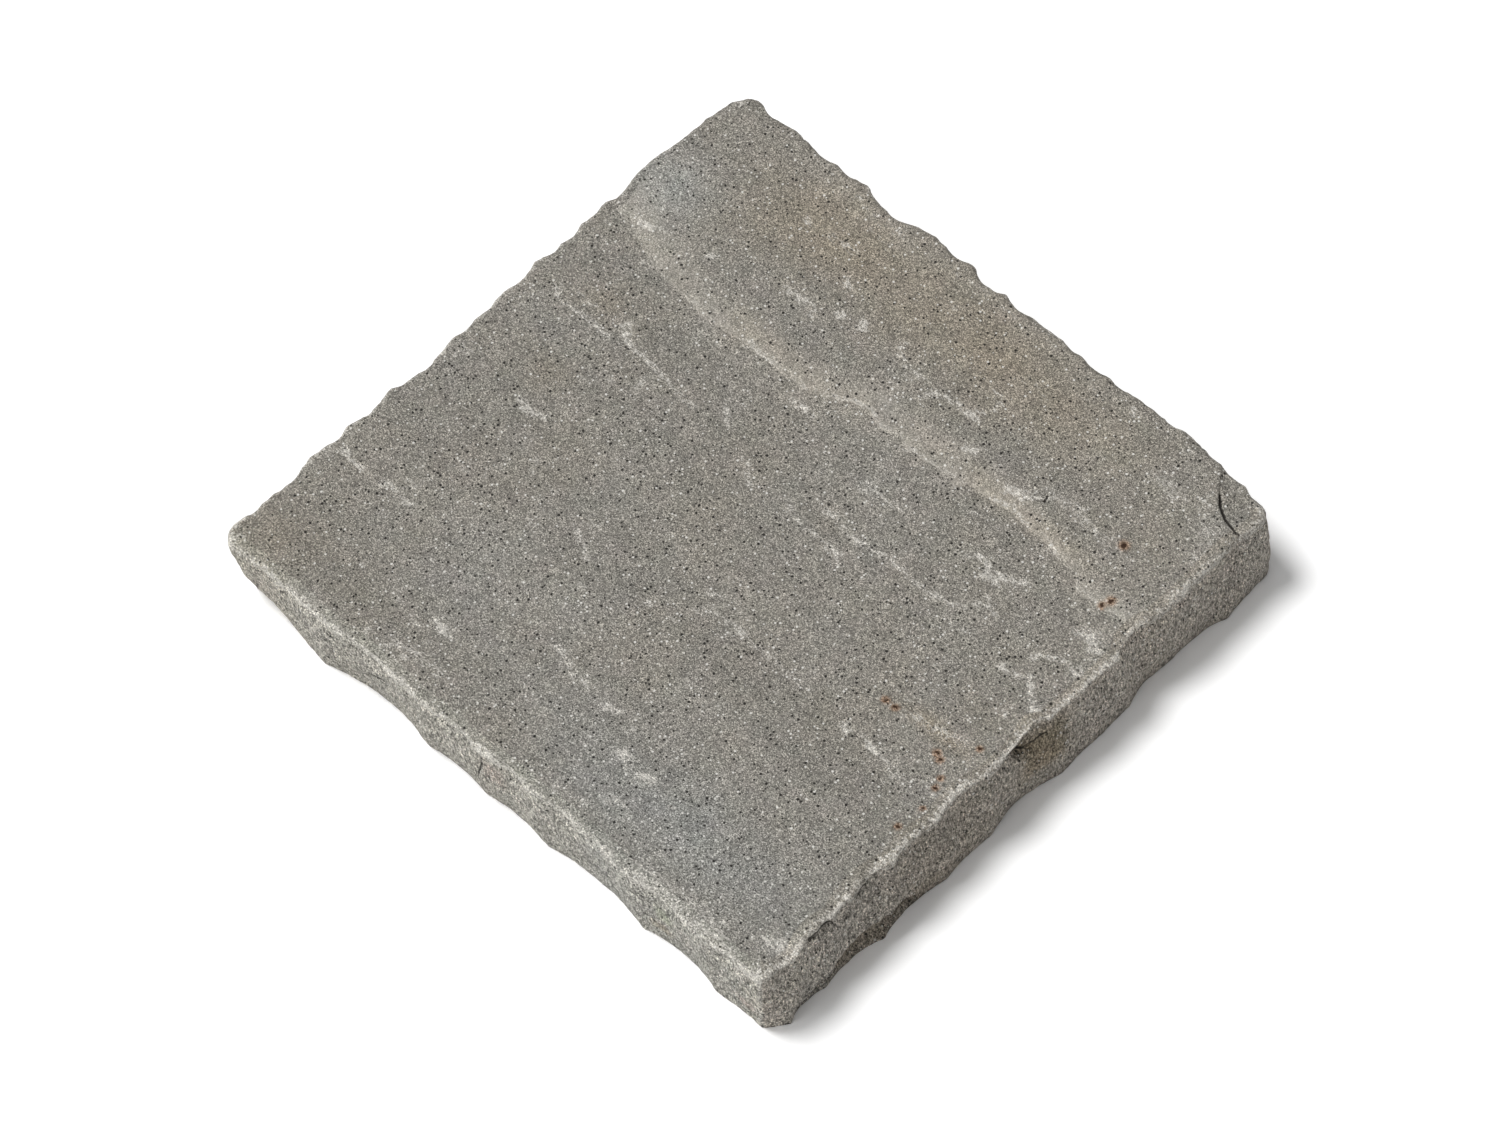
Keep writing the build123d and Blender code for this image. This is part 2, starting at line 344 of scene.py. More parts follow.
# Pale line along the step's toe: its span behind the toe, strength, where it starts and where it is strongest
TOE_SPAN = (0.0, 0.15, 1.2, 2.4)
TOE_LEVEL, TOE_PATCHY = 0.16, 0.25
TOE_RUN = (-70, -60)
BRIGHT_RUN, BRIGHT_LEVEL = (-4, 4, 32, 38), 0.6

# Pale edges of the laminae: the part of each lamina's height that they take, and their strength
LAMINA_EDGE, LAMINA_PALE = (0.6, 0.8), 0.3

# Painted light in a band just in front of the step, which lifts the shade that its riser casts there: its
# span before the toe, where along x it ends, and its strength
PAINTED_LIGHT_SPAN, PAINTED_LIGHT_END, PAINTED_LIGHT_LEVEL = (-9, -2, 0.0, 0.1), (30, 15), 0.06

# Changes of red, green and blue: blue and brown stains, the fresh slope, and the right and front sides
BLUE_SHIFT = np.array((0.02, 0.08, 0.15))
BROWN_SHIFT = np.array((0.06, -0.01, -0.11))
FRESH_SHIFT = np.array((0.005, 0.0, -0.005))
RIGHT_SHIFT = np.array((0.02, 0.0, -0.03))
FRONT_SHIFT = np.array((0.01, 0.035, 0.025))

# Change of level: bands along the bedding, dark bands, and the front side, lighter towards its arris
BEDDING_LEVEL, DARK_LEVEL, BLOTCH_LEVEL = 0.06, 0.10, 0.10
FRONT_LEVELS = (0.02, 0.04, 0.08)
FRONT_UPPER, FRONT_ARRIS = (-17, -12), (-6, -1)

# Iron spots on the riven face: place in plan and size
RUST_SPOTS = (
    (79, 62.5, 0.9), (88, 47.5, 0.8), (87, 45, 0.65), (65, -15.5, 0.7), (68.5, -15.5, 0.7), (86, -18, 0.7),
    (88, -19, 0.7), (93.5, -9.5, 0.6), (92, -23, 0.6), (93, -26, 0.6), (95, -33, 0.5), (94, -41.5, 0.6),
)

# Straight cracks: face, both ends in that face, and depth
CRACKS = (
    (TOP, (53.3, 60.3), (53.9, 58.0), 0.1),
    (FRONT, (-2.6, 21.5), (-4.6, 13.0), 0.7),
    (FRONT, (-48.0, 14.5), (-41.0, 17.8), 0.4),
    (RIGHT, (-4.0, 26.8), (-0.6, 24.2), 1.5),
    (RIGHT, (-0.6, 24.2), (2.7, 22.2), 1.2),
    (RIGHT, (2.7, 22.2), (8.3, 23.6), 0.6),
    (RIGHT, (-81.0, 27.0), (-80.2, 24.0), 0.6),
    (RIGHT, (-80.0, 25.2), (-73.5, 26.2), 0.5),
    (RIGHT, (-62.5, 25.6), (-59.0, 26.4), 0.4),
)

# Distance from a crack that stands for this and any greater one
CRACK_FAR = 5.0

# Colours of the stone
STONE = srgb(140, 136, 128)
HEWN_STONE = srgb(157, 152, 144)
PALE_STONE = srgb(212, 208, 200)
BLACK_SPECK = srgb(38, 36, 34)
WHITE_SPECK = srgb(228, 226, 220)
RUST_HALO = srgb(150, 106, 68)
RUST_HEART = srgb(46, 28, 17)
CRACK_SHADE = srgb(38, 35, 31)

# Grain: sizes of its two kinds of sand and their shares, and the grey of a grain by its random number
COARSE_SAND, FINE_SAND = 0.28, 0.19
COARSE_SHARE, FINE_SHARE = 0.6, 0.4
GRAIN_LEVELS = ((0.05, 0.18), (0.35, 0.64), (0.6, 1.03), (0.8, 1.8), (0.95, 2.9))

# Black and white minerals: distance between the cells, share of them that hold one, and largest radius
BLACK_GRAINS = (1.05, 0.2, 0.48)
WHITE_GRAINS = (1.0, 0.15, 0.41)

# Shift that keeps the white cells from lying on the black ones
APART = Vector((40.0, 0, 0))

# Sizes of the clouds, of the rough break, of the ragged flecks and of the thin pale lines,
# and how the break's marks and the pale lines are stretched
CLOUD_SIZE, ROUGH_SIZE, FLECK_SIZE, LINE_SIZE = 7.0, 0.75, 0.9, 2.4
UPRIGHT_MARKS = Vector((1.0, 1.0, 0.4))
LINES_ALONG = Vector((0.45, 1.0, 1.0))

# Relief of the grain on the riven face and on the dressed sides, in metres
RIVEN_GRAIN, HEWN_GRAIN = 0.10 * MM, 0.32 * MM

# Layout of the maps: share of their width for the top face, gap at their edge, margin round the face,
# where the sides' strips start and their pitch, room under the foot, and the size and corner of the bed
FACE_SHARE, MAP_GAP, FACE_MARGIN = 0.55, 0.005, 5
STRIPS_FROM, STRIP_PITCH, FOOT_ROOM = 0.565, 0.108, 2
BED_SCALE, BED_CORNER = 0.76, (0.57, 0.005)


def smooth(low, high, value):
    """Smooth step from 0 at low to 1 at high."""
    t = np.clip((value - low) / (high - low), 0, 1)
    return t * t * (3 - 2 * t)


def window(value, start, full, full_to, end):
    """1 between two inner limits, fading to 0 at the outer ones."""
    return smooth(start, full, value) * smooth(end, full_to, value)


def bell(value, centre, width):
    """1 at the centre, falling off smoothly over the given width."""
    return np.exp(-((value - centre) / width) ** 2)


def eased(count, power):
    """Places from 0 to 1 that lie closer together towards 1."""
    return 1 - (1 - np.linspace(0, 1, count + 1)) ** power


def block_tree():
    """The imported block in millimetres, as a tree that rays can be cast on."""
    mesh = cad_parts[NODE].data
    return BVHTree.FromPolygons([v.co / MM for v in mesh.vertices], [p.vertices for p in mesh.polygons])


TREE = block_tree()


def on_side(start, heading, height):
    """The point where a level ray from inside the block leaves one of its sides."""
    safe = min(max(height, HAIR), ARRIS - HAIR)
    hit = TREE.ray_cast(Vector((start.x, start.y, safe)), heading)[0]
    return Vector((hit.x, hit.y, height))


def face_height(x, y):
    """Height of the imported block's top at a place in plan."""
    return TREE.ray_cast(Vector((x, y, ABOVE)), DOWN)[0].z


def step_toe(x):
    """Where the riven step starts on a line across the top face."""
    y = TOE_FROM
    while y < TOE_TO and face_height(x, y) < RISER_MIDDLE:
        y += TOE_STRIDE
    low, high = y - TOE_STRIDE, y
    while high - low > HAIR:
        middle = (low + high) / 2
        low, high = (middle, high) if face_height(x, middle) < RISER_MIDDLE else (low, middle)
    return high


def step_rows(start, toe, end):
    """Places of the grid's rows across the face, closest together on both sides of the step's riser."""
    before = start + (toe - RISER_WIDTH / 2 - start) * eased(ROWS_BEFORE_STEP, CROWDING_BEFORE)
    after = end - (end - toe - RISER_WIDTH / 2) * eased(ROWS_AFTER_STEP, CROWDING_AFTER)[::-1]
    return np.concatenate([before, after])


def side_column(tangent, outward, along):
    """Spine point, heading and slant of one column; past the straight stretch the columns fan out."""
    straight = HALF - SPINE_INSET
    place = min(max(along, -straight), straight)
    turn = (along - place) / FAN * pi / 4
    return outward * straight + tangent * place, outward * cos(turn) + tangent * sin(turn), 1 / cos(turn)


def skirt():
    """Rows of points round the block, from the foot up the sides and in over the bevel."""
    across = np.linspace(-REACH, REACH, FACE_COLUMNS + 1)
    rim = HALF - BEVEL_INSETS[-1]
    right = step_rows(-REACH, step_toe(rim), REACH)
    left = -step_rows(-REACH, step_toe(-rim), REACH)[::-1]
    columns = []
    for tangent, outward, places in ((X, -Y, across), (Y, X, right), (-X, Y, across), (-Y, -X, left)):
        for along in places[:-1]:
            start, heading, slant = side_column(tangent, outward, along)
            points = [on_side(start, heading, height) for height in SIDE_HEIGHTS]
            arris = points[-1].copy()
            for inset in BEVEL_INSETS:
                at = arris - heading * inset * slant
                points.append(Vector((at.x, at.y, face_height(at.x, at.y))))
            columns.append(points)
    return np.array(columns).transpose(1, 0, 2)


def bent(edge, toe):
    """How far each point of one side's rim lies from its place on a straight grid line."""
    rows = step_rows(edge[0, 1], toe, edge[-1, 1])
    share = (edge[:, 1] - edge[0, 1]) / (edge[-1, 1] - edge[0, 1])
    return edge[:, 0] - edge[0, 0] - share * (edge[-1, 0] - edge[0, 0]), edge[:, 1] - rows


def relax(grid, span=14, turns=30):
    """Evens out the cells at the corners of the face, where its rim is rounded."""
    for rows in (slice(0, span), slice(-span, None)):
        for columns in (slice(0, span), slice(-span, None)):
            block = grid[rows, columns]
            for _ in range(turns):
                around = block[:-2, 1:-1] + block[2:, 1:-1] + block[1:-1, :-2] + block[1:-1, 2:]
                block[1:-1, 1:-1] = around / 4


def face_grid(front, right, back, left):
    """Points of the top face, row by row, between its four rims; a row lies on each side of the riser."""
    left_x, left_y = bent(left, left[ROWS_BEFORE_STEP, 1] + RISER_WIDTH / 2)
    right_x, right_y = bent(right, right[ROWS_BEFORE_STEP, 1] + RISER_WIDTH / 2)
    plan = np.zeros((FACE_ROWS + 1, FACE_COLUMNS + 1, 2))
    for i in range(FACE_COLUMNS + 1):
        u = (front[i, 0] - front[0, 0]) / (front[-1, 0] - front[0, 0])
        (x0, y0), (x1, y1) = front[i, :2], back[i, :2]
        toe = step_toe(x0)
        for _ in range(2):
            rows = step_rows(y0, toe, y1)
            x = x0 + (x1 - x0) * (rows - y0) / (y1 - y0) + (1 - u) * left_x + u * right_x
            toe = step_toe(x[ROWS_BEFORE_STEP])
        plan[:, i] = np.stack([x, rows + (1 - u) * left_y + u * right_y], 1)
    plan[0], plan[-1], plan[:, 0], plan[:, -1] = front[:, :2], back[:, :2], left[:, :2], right[:, :2]
    relax(plan)
    probe = plan[1:-1, 1:-1].copy()
    probe[ROWS_BEFORE_STEP - 1, :, 1] -= RISER_WIDTH
    probe[ROWS_BEFORE_STEP, :, 1] += RISER_WIDTH
    heights = [face_height(x, y) for x, y in probe.reshape(-1, 2)]
    inner = np.dstack([plan[1:-1, 1:-1], np.reshape(heights, probe.shape[:2])])
    return inner, plan[ROWS_BEFORE_STEP]


def bed_points():
    """Jittered points inside the bed face."""
    noise.seed_set(BED_SEED)
    places = np.arange(-BED_REACH, BED_REACH, BED_SPACING)
    points = []
    for x in places:
        for y in places:
            nudge = noise.noise_vector(Vector((x, y, 0))) * BED_SPACING * BED_JITTER
            points.append((x + nudge.x, y + nudge.y))
    return points


def bed_faces(foot, points):
    """Triangles over the bed, whose edge is the foot; its inner points are added to the list."""
    inside = [Vector(p) for p in bed_points()]
    flat, _, triangles, sources, _, _ = geometry.delaunay_2d_cdt(
        [Vector(p[:2]) for p in foot] + inside, [], [list(range(len(foot)))], 1, 1e-6
    )
    place = {}
    for i, source in enumerate(sources):
        place[i] = source[0] if source[0] < len(foot) else len(points)
        if place[i] == len(points):
            points.append((flat[i].x, flat[i].y, 0.0))
    return [tuple(place[i] for i in reversed(t)) for t in triangles]


def stone_skin():
    """The block's skin as one closed mesh in millimetres.

    Also gives the step's toe in plan, and for each point its zone (0 bed, 1 sides and bevel, 2 top face)
    and its distance from the arris along the section, which is negative below the arris.
    """
    rings = skirt()
    top, count = len(rings) - 1, rings.shape[1]
    points = [tuple(p) for p in rings.reshape(-1, 3)]
    n, m = FACE_COLUMNS, FACE_ROWS

    def ring(row, column):
        return row * count + column % count

    rim = np.vstack([rings[-1], rings[-1][:1]])
    corners = (0, n, n + m, 2 * n + m, 2 * (n + m))
    front, right, back, left = [rim[a:b + 1] for a, b in zip(corners, corners[1:])]
    inner, toe = face_grid(front, right, back[::-1], left[::-1])
    first_inner = len(points)
    points += [tuple(p) for p in inner.reshape(-1, 3)]

    def on_face(j, i):
        """Index of the grid's point in row j and column i, which is on the rim at the grid's edge."""
        if j == 0:
            return ring(top, i)
        if i == n:
            return ring(top, n + j)
        if j == m:
            return ring(top, n + m + (n - i))
        if i == 0:
            return ring(top, 2 * n + m + (m - j))
        return first_inner + (j - 1) * (n - 1) + i - 1

    faces = [
        (ring(r, c), ring(r, c + 1), ring(r + 1, c + 1), ring(r + 1, c))
        for r in range(top) for c in range(count)
    ]
    faces += [
        (on_face(j, i), on_face(j, i + 1), on_face(j + 1, i + 1), on_face(j + 1, i))
        for j in range(m) for i in range(n)
    ]
    first_bed = len(points)
    faces += bed_faces(rings[0], points)

    zones = np.ones(len(points), int)
    zones[first_inner:first_bed] = 2
    zones[first_bed:] = 0
    profile = np.concatenate([SIDE_HEIGHTS - ARRIS, BEVEL_INSETS])
    plan = np.abs(np.array(points)[:, :2]).max(axis=1)
    edge = np.maximum(HALF - plan, BEVEL_INSETS[-1])
    edge[:first_inner] = np.repeat(profile, count)
    edge[first_bed:] = -ARRIS
    mesh = bpy.data.meshes.new("split_sandstone")
    mesh.from_pydata(points, [], faces)
    return mesh, toe, zones, edge


def distance_to(line, points):
    """Distance in plan from points to a line of short straight stretches."""
    best = np.full(len(points), 2 * HALF)
    for a, b in zip(np.array(line), np.array(line[1:])):
        along = np.clip(((points - a) @ (b - a)) / ((b - a) @ (b - a)), 0, 1)
        best = np.minimum(best, np.linalg.norm(points - a - along[:, None] * (b - a), axis=1))
    return best


def refine(mesh, zones, edge):
    """Splits the cells of the top face beside the flake's crack, which is finer than the grid."""
    bm = bmesh.new()
    bm.from_mesh(mesh)
    bm.verts.ensure_lookup_table()
    old = len(bm.verts)
    centres = np.array([f.calc_center_median()[:2] for f in bm.faces])
    close = distance_to(FLAKE_CRACK, centres) < CRACK_BAND
    on_top = [all(zones[v.index] == 2 for v in f.verts) for f in bm.faces]
    cells = [f for f, wanted in zip(bm.faces, close & on_top) if wanted]
    edges = list(dict.fromkeys(e for f in cells for e in f.edges))
    bmesh.ops.subdivide_edges(bm, edges=edges, cuts=CRACK_CUTS, use_grid_fill=True)
    bmesh.ops.triangulate(bm, faces=[f for f in bm.faces if len(f.verts) > 4])
    bm.verts.index_update()
    for vertex in list(bm.verts)[old:]:
        vertex.co.z = face_height(vertex.co.x, vertex.co.y)
    bm.to_mesh(mesh)
    bm.free()
    added = len(mesh.vertices) - old
    plan = np.array([np.abs(v.co[:2]).max() for v in mesh.vertices[old:]])
    return np.append(zones, [2] * added), np.append(edge, HALF - plan)


def fractal(points, size, seed, octaves=4):
    """Fractal noise, about -1 to 1, at points in millimetres; its largest lumps have the given size."""
    shift = np.array((31.7, -12.9, 7.3)) * seed
    return np.array([noise.fractal(p, 1.0, 2.0, octaves) for p in (points / size + shift).tolist()])


def bowls(points, size, seed):
    """Square of the distance to the nearest of many scattered centres: hollows that meet in ridges."""
    shift = np.array((5.3, 17.1, -8.7)) * seed
    return np.array([noise.voronoi(p)[0][0] ** 2 for p in (points / size + shift).tolist()])


def terraced(height, tread):
    """Heights gathered into steps, each a gentle tread and a steeper riser."""
    level = np.floor(height / tread)
    return (level + smooth(0.55, 1.0, height / tread - level)) * tread


def on_right(points):
    """Whether each point lies on the right side, by its place in plan."""
    return points[:, 0] > np.abs(points[:, 1])


def near_end(points):
    """1 along the end of the right side that meets the front."""
    return smooth(*NEAR_END, points[:, 1])


def ledge_relief(points):
    """How far the right side stands out at its ledge: the break under a ragged lip, and a brow above it."""
    height = points[:, 2]
    lip = np.interp(points[:, 1], *np.array(LEDGE, float).T, left=0, right=0)
    lip += LIP_RAGGED * fractal(points * (1, 1, 0), LIP_SIZE, seed=4)
    under = smooth(0, LIP_FALL, lip - height) * smooth(0, 2.5, height)
    brow = bell(height - lip, BROW_RISE, BROW_WIDTH) * smooth(1, 4, lip)
    return BROW_OUT * brow - LEDGE_DEPTH * under


def hewn_relief(points, zones, edge):
    """How far the dressed sides stand out: bowls left by the hammer, coarse and fine break, and the ledge."""
    side = (zones == 1) * smooth(*HEWN_FADE, edge)
    right = smooth(*RIGHT_ZONE, points[:, 0])
    coarse = (CALM + (1 - CALM) * right) * side
    out = coarse * BOWL_DEPTH * (bowls(points, BOWL_SIZE, seed=1) - BOWL_LEVEL)
    out += coarse * COARSE_BREAK * fractal(points, COARSE_SIZE, seed=2)
    out += (zones == 1) * FINE_BREAK * fractal(points, FINE_SIZE, seed=3)
    layered = side * right * smooth(*LAYERED_ZONE, points[:, 1])
    out += layered * LAYERED_BREAK * fractal(points * LAYERED_STRETCH, LAYERED_SIZE, seed=15)
    return out + side * right * ledge_relief(points)


def crack_relief(points, faces):
    """Grooves along the straight cracks; a deeper one is wider too."""
    out = np.zeros(len(points))
    for face, start, end, depth in CRACKS:
        away = beside(in_face(points, face), start, end)
        out -= (faces == face) * depth * bell(away, 0, 0.5 + 0.4 * depth)
    return out


def chip_relief(points, zones, edge):
    """Small shell-shaped bites out of the arris, most of them close to the smallest reach."""
    draw = np.random.default_rng(CHIP_SEED)
    low, high = CHIP_REACH
    band = np.flatnonzero((zones > 0) & (np.abs(edge) < high + 1))
    arris = np.flatnonzero(np.abs(edge) < HAIR)
    out = np.zeros(len(points))
    for _ in range(CHIP_COUNT):
        reach = low + (high - low) * draw.random() ** 3
        centre = points[draw.choice(arris)] + (0, 0, draw.uniform(*CHIP_SHIFT))
        away = np.linalg.norm(points[band] - centre, axis=1) / reach
        out[band] = np.minimum(out[band], -CHIP_SHARE * reach * np.clip(1 - away ** 2, 0, 1))
    return out


def laminae(points):
    """Smooth heights; the thin laminae end where these pass one level after another."""
    return LAMINA_RISE * fractal(points * ALONG_BEDDING, LAMINA_SIZE, seed=5, octaves=5)


def riven_relief(points, zones, edge):
    """Relief of the riven face: gentle swell, ends of thin laminae, fine break, flake scars and the crack."""
    face = (zones == 2) * smooth(*RIVEN_FADE, edge)
    out = FACE_SWELL * fractal(points * ALONG_BEDDING, FACE_SWELL_SIZE, seed=6, octaves=3)
    out += terraced(laminae(points), LAMINA) * LAMINA_SHARE
    out += FACE_BREAK * fractal(points, FACE_BREAK_SIZE, seed=7)
    ragged = SCAR_RAGGED * fractal(points, SCAR_RAGGED_SIZE, seed=8)
    for x, y, length, width, depth in FLAKE_SCARS:
        away = np.hypot((points[:, 0] - x) / length, (points[:, 1] - y) / width) + ragged
        out -= depth * smooth(*SCAR_RIM, away)
    crack = distance_to(FLAKE_CRACK, points[:, :2] + 0.25 * ragged[:, None])
    groove = CRACK_DEPTH * bell(crack, 0, CRACK_HALF_WIDTH) * smooth(*CRACK_OPENS, points[:, 0])
    return face * out - (zones == 2) * groove


def slope_relief(points, zones, beyond):
    """Low treads on the slope behind the step, which broke through several laminae."""
    rise = points[:, 2] - PLATEAU - RISER
    on_slope = (zones == 2) * window(beyond, *TREAD_SPAN) * window(rise, *TREAD_HEIGHTS)
    level = rise + 0.25 * fractal(points * (0.45, 1, 0), size=6.0, seed=9)
    patchy = smooth(-0.5, 0.3, fractal(points, size=8.0, seed=14))
    return on_slope * (terraced(level, SLOPE_TREAD) - rise) * patchy


def toe_jags(points, beyond):
    """Small jags that make the step's edge ragged, along the face."""
    near = bell(beyond, 0, JAG_REACH) * (points[:, 2] > JAGS_ABOVE)
    line = points * JAG_STRETCH
    return near * sum(depth * fractal(line, size, seed) for depth, size, seed in JAGS)


def bevel_fullness(points, zones, edge):
    """How far the eased crown stands out from a plain chamfer; it is half as wide in front of the step."""
    width = LOW_CROWN + (HIGH_CROWN - LOW_CROWN) * smooth(*CROWN_WIDENS, points[:, 1])
    share = np.clip(edge / width, 0, 1)
    right_fullness = RIGHT_FULLNESS + NEAR_FULLNESS * near_end(points)
    fullness = np.where(on_right(points), right_fullness, CROWN_FULLNESS)
    return (zones > 0) * fullness * width * 4 * share * (1 - share)


def arris_swell(points, zones, edge):
    """How far one stretch of the right side's arris stands out."""
    near = (zones > 0) * on_right(points) * window(edge, *SWELL_SPAN)
    return near * SWELL_OUT * bell(points[:, 1], SWELL_PLACE, SWELL_LENGTH)


def upright_ridge(points, zones, edge):
    """How far the upright edge between the front and the right side stands out from the rounded corner."""
    near = (zones == 1) & (points[:, 0] > 0) & (points[:, 1] < 0)
    return near * RIDGE * bell(points[:, 0] + points[:, 1], 0, RIDGE_WIDTH) * smooth(3.6, 1.0, edge)


def faces_of(points, zones):
    """The face of the stone that each point lies on."""
    across = np.abs(points[:, 0]) > np.abs(points[:, 1])
    side = np.where(across, np.where(points[:, 0] > 0, RIGHT, LEFT), np.where(points[:, 1] > 0, BACK, FRONT))
    return np.choose(zones, [BED, side, TOP])


def in_face(points, face):
    """Places in the plane of one face: along a side and up it, or in plan."""
    axes = {FRONT: (0, 2), RIGHT: (1, 2), BACK: (0, 2), LEFT: (1, 2), TOP: (0, 1), BED: (0, 1)}
    return points[:, axes[face]]


def beside(flat, start, end):
    """Signed distance from a short straight line, unsigned past its ends."""
    run = np.subtract(end, start)
    offset = flat - start
    along = offset @ run / (run @ run)
    away = np.linalg.norm(offset - np.clip(along, 0, 1)[:, None] * run, axis=1)
    return away * np.where((along > 0) & (along < 1), np.sign(offset @ (-run[1], run[0])), 1)


def numbers(items, name, width):
    """One of a mesh's lists of numbers, in rows of the given width."""
    found = np.empty(len(items) * width)
    items.foreach_get(name, found)
    return found.reshape(-1, width)


def pitted(points):
    """Heights of the bed, whose pits fade out towards the foot."""
    pits = sum(depth * fractal(points, size, seed) for depth, size, seed in PITS)
    inland = smooth(BED_REACH + 2, BED_REACH - 6, np.abs(points[:, :2]).max(axis=1))
    return np.clip(pits, 0, None) * inland


def carve(mesh, toe, zones, edge):
    """Gives the skin its relief; returns its points before that, and how far behind the toe they lie."""
    points = numbers(mesh.vertices, "co", 3)
    normals = numbers(mesh.vertex_normals, "vector", 3)
    beyond = points[:, 1] - np.interp(points[:, 0], toe[:, 0], toe[:, 1])
    along_normal = hewn_relief(points, zones, edge) + chip_relief(points, zones, edge)
    along_normal += crack_relief(points, faces_of(points, zones)) + bevel_fullness(points, zones, edge)
    ridge = upright_ridge(points, zones, edge)
    moved = points + normals * along_normal[:, None]
    moved[:, 0] += ridge + arris_swell(points, zones, edge)
    moved[:, 1] += toe_jags(points, beyond) - ridge
    moved[:, 2] += riven_relief(points, zones, edge) + slope_relief(points, zones, beyond)
    bed = np.isclose(edge, -ARRIS)
    moved[bed, 2] = pitted(points)[bed]
    moved[:, 2] = np.clip(moved[:, 2], 0, THICK)
    mesh.vertices.foreach_set("co", moved.ravel())
    mesh.update()
    return points, beyond


def scatter(points, spots):
    """Sum of soft patches: each has its centre in plan, its half length and half width, and a strength."""
    total = np.zeros(len(points))
    for x, y, length, width, strength in spots:
        away = ((points[:, 0] - x) / length) ** 2 + ((points[:, 1] - y) / width) ** 2
        total += strength * np.exp(-away)
    return total


def crushed_arris(points, zones, edge, patchy):
    """Pale bands along the arris, wider on the front and at the near end of the right side."""
    faces = faces_of(points, np.minimum(zones, 1))
    right, front = faces == RIGHT, faces == FRONT
    where = np.stack([np.ones(len(points)), right, front, right * near_end(points)])
    middle, width, start, full, strength = np.array(ARRIS_BAND).T @ where
    line = bell(edge, middle, width) * (strength + ARRIS_PATCHY * patchy)
    inner = bell(edge, *INNER_BAND[:2]) * INNER_BAND[2] * patchy
    broad = bell(edge, *BROAD_BAND[:2]) * BROAD_BAND[2] * front * window(points[:, 0], *BROAD_RUN)
    return (zones > 0) * smooth(start, full, edge) * np.maximum(line + inner, broad)


def crushed_uprights(points, zones):
    """Pale upright edges, where two sides meet."""
    between = np.abs(points[:, 0]) - np.abs(points[:, 1])
    return (zones == 1) * bell(between, 0, UPRIGHT_BAND) * UPRIGHT_LEVEL


def crushed_toe(points, beyond, patchy):
    """Pale line along the step's toe, strongest over one stretch of it."""
    x = points[:, 0]
    line = window(beyond, *TOE_SPAN) * (TOE_LEVEL + TOE_PATCHY * patchy) * smooth(*TOE_RUN, x)
    return line * (1 + BRIGHT_LEVEL * window(x, *BRIGHT_RUN))


def pale_laminae(points):
    """Pale edges of the thin laminae, in some places only."""
    level = laminae(points) / LAMINA
    edges = smooth(*LAMINA_EDGE, level - np.floor(level))
    return LAMINA_PALE * edges * smooth(0.0, 0.6, fractal(points, size=9.0, seed=25))


def pale_flecks(points):
    """The pale flecks, each strongest on its line, with a little more or less of them from place to place."""
    flecks = np.zeros(len(points))
    for strength, width, *path in FLECKS:
        away = distance_to(np.reshape(path, (-1, 2)), points[:, :2])
        flecks = np.maximum(flecks, (0.15 + 0.85 * strength) * bell(away, 0, width + 0.4))
    return 0.9 * flecks * (0.8 + 0.2 * smooth(-0.3, 0.3, fractal(points, size=3.5, seed=26)))


def worn(points, zones, edge, beyond):
    """How much of the stone is crushed or flaked pale: arris, upright edges, toe, laminae and flecks."""
    patchy = smooth(-0.35, 0.45, fractal(points, size=11.0, seed=21))
    sides = crushed_arris(points, zones, edge, patchy) + crushed_uprights(points, zones)
    face = crushed_toe(points, beyond, patchy) + pale_laminae(points) + pale_flecks(points)
    return np.clip(sides + (zones == 2) * face, 0, 1)


def fresh_slope(points, zones, beyond):
    """How fresh the stone is on the slope behind the step; it fades out over the width of the slope."""
    x = points[:, 0]
    run = np.interp(x, *np.array(SLOPE_RUN, float).T)
    run *= 1 + 0.3 * fractal(points * (1, 0, 0), size=14.0, seed=33)
    fresh = (zones == 2) * smooth(*TOE_SPAN[:2], beyond) * smooth(run * 1.3, run * 0.4, beyond)
    return fresh * (0.9 + 0.3 * smooth(2.6, 1.4, beyond) * smooth(*TOE_RUN, x))


def level_of(points, zones, edge, beyond, fresh):
    """How light the stone is at each point, beside its usual level, with painted light just in front of the
    step.
    """
    bands = fractal(points * (0.18, 1, 0), size=24.0, seed=31, octaves=3)
    top, front = zones == 2, faces_of(points, zones) == FRONT
    # Painted light just in front of the step, which lifts the riser's shade there
    fore_painted_light = window(beyond, *PAINTED_LIGHT_SPAN) * smooth(*PAINTED_LIGHT_END, points[:, 0])
    low, upper, arris = FRONT_LEVELS
    level = 1 + BEDDING_LEVEL * bands - DARK_LEVEL * scatter(points, DARK_BANDS) * top
    level *= 1 + SLOPE_LEVEL * fresh + PAINTED_LIGHT_LEVEL * top * fore_painted_light
    lighter = low + upper * smooth(*FRONT_UPPER, edge) + arris * smooth(*FRONT_ARRIS, edge)
    return level * (1 + front * lighter)


